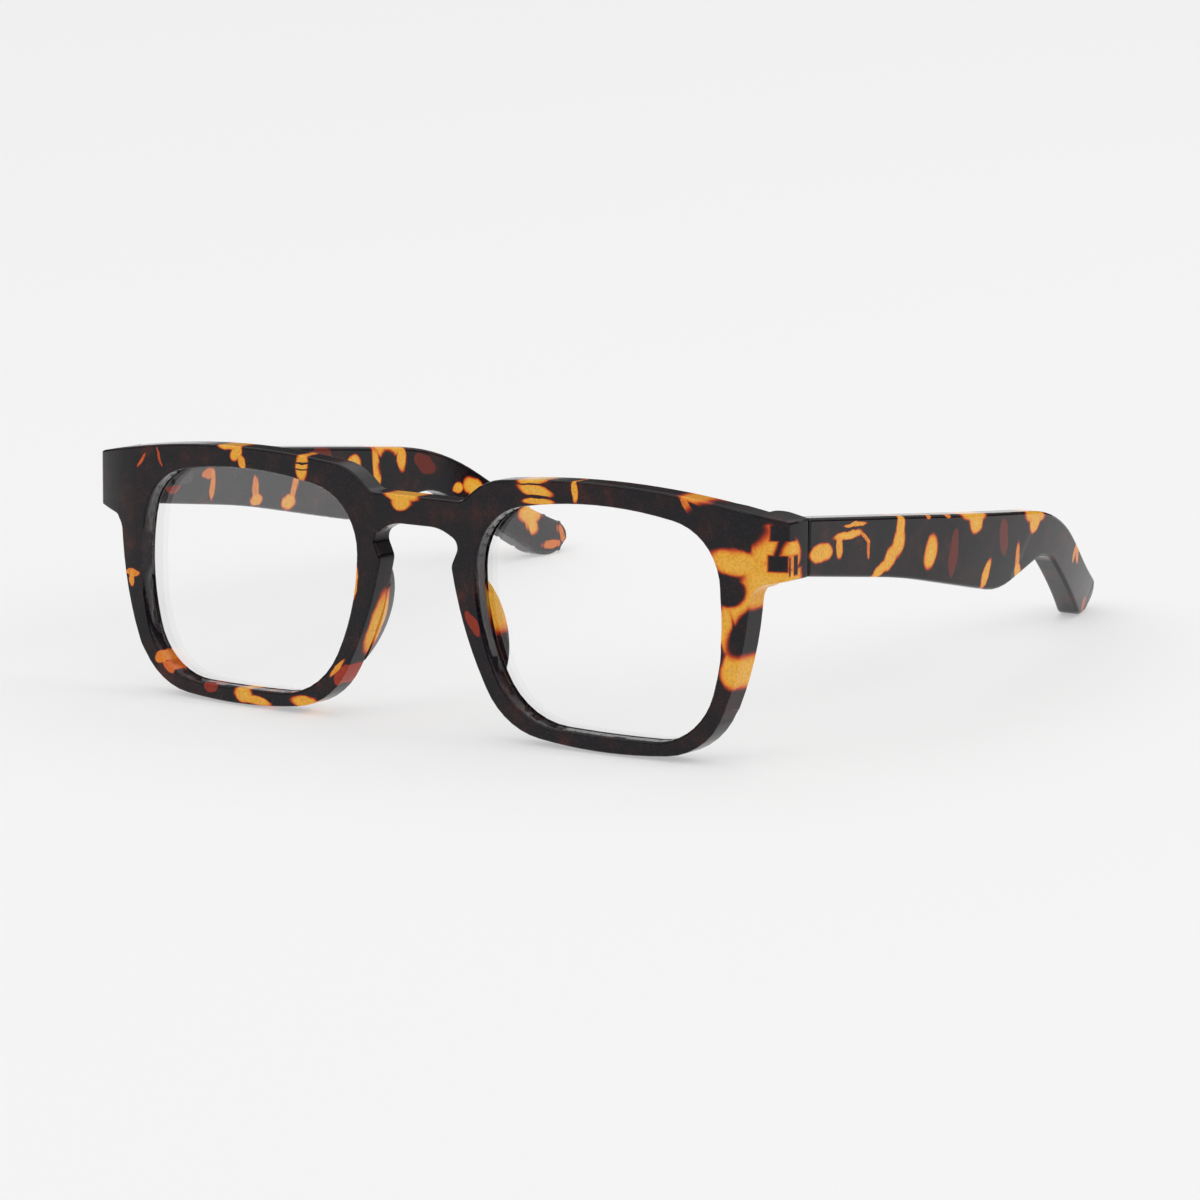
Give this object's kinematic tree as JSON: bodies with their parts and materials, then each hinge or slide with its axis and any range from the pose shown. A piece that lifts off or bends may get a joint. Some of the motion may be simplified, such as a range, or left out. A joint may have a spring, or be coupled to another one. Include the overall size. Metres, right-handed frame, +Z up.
{
  "type": "eyeglasses",
  "caption": "Square tortoiseshell eyeglasses with a keyhole bridge, clear lenses, built-up nose pads and flared paddle temples on spring hinges.",
  "frame": {"origin": "middle of the footprint, on the plane the rims and ear tips stand on", "axes": "+X to the wearer's left, +Y from the front back towards the ears, +Z up"},
  "size_m": [0.146, 0.1266, 0.0458],
  "materials": {
    "front_frame": "polished tortoiseshell acetate",
    "lens": "clear plano demo lens",
    "nose_pad": "polished tortoiseshell acetate",
    "hinge_screw": "bright steel",
    "hinge_slider": "dark plated",
    "temple": "polished tortoiseshell acetate",
    "flex_spring": "spring steel",
    "spring_stop": "steel",
    "spring_cover": "dark plated",
    "cover_screw": "black"
  },
  "bodies": {
    "front": {"front_frame": "front_frame", "lens_left": "lens", "lens_right": "lens", "nose_pad_left": "nose_pad", "nose_pad_right": "nose_pad"},
    "pin_left": {"hinge_screw_left": "hinge_screw"},
    "slider_left": {"hinge_slider_left": "hinge_slider", "spring_stop_left": "spring_stop"},
    "temple_left": {"temple_left": "temple", "spring_cover_left": "spring_cover", "cover_screw_left": "cover_screw", "flex_spring_left": "flex_spring"},
    "pin_right": {"hinge_screw_right": "hinge_screw"},
    "slider_right": {"hinge_slider_right": "hinge_slider", "spring_stop_right": "spring_stop"},
    "temple_right": {"temple_right": "temple", "spring_cover_right": "spring_cover", "cover_screw_right": "cover_screw", "flex_spring_right": "flex_spring"}
  },
  "joints": [
    {"name": "fold_left", "type": "hinge", "parent": "front", "child": "pin_left", "pos_m": [0.0699, -0.05212, 0.03635], "axis": [0, 0.0866, 0.9962], "range_deg": [0, 84]},
    {"name": "flex_left", "type": "hinge", "parent": "pin_left", "child": "slider_left", "pos_m": [0.0699, -0.05212, 0.03635], "axis": [0, -0.0866, -0.9962], "range_deg": [0, 8], "stiffness_Nm_per_rad": 0.3, "springref_deg": -8.59},
    {"name": "spring_travel_left", "type": "slide", "parent": "slider_left", "child": "temple_left", "axis": [0, 0.9962, -0.0866], "range_m": [0, 0.0006]},
    {"name": "fold_right", "type": "hinge", "parent": "front", "child": "pin_right", "pos_m": [-0.0699, -0.05212, 0.03635], "axis": [0, -0.0866, -0.9962], "range_deg": [0, 60]},
    {"name": "flex_right", "type": "hinge", "parent": "pin_right", "child": "slider_right", "pos_m": [-0.0699, -0.05212, 0.03635], "axis": [0, 0.0866, 0.9962], "range_deg": [0, 8], "stiffness_Nm_per_rad": 0.3, "springref_deg": -8.59},
    {"name": "spring_travel_right", "type": "slide", "parent": "slider_right", "child": "temple_right", "axis": [0, 0.9962, -0.0866], "range_m": [0, 0.0006]}
  ],
  "couplings": [
    {"joint": "spring_travel_left", "follows": "flex_left", "m_per_rad": 0.0042},
    {"joint": "spring_travel_right", "follows": "flex_right", "m_per_rad": 0.0042}
  ]
}
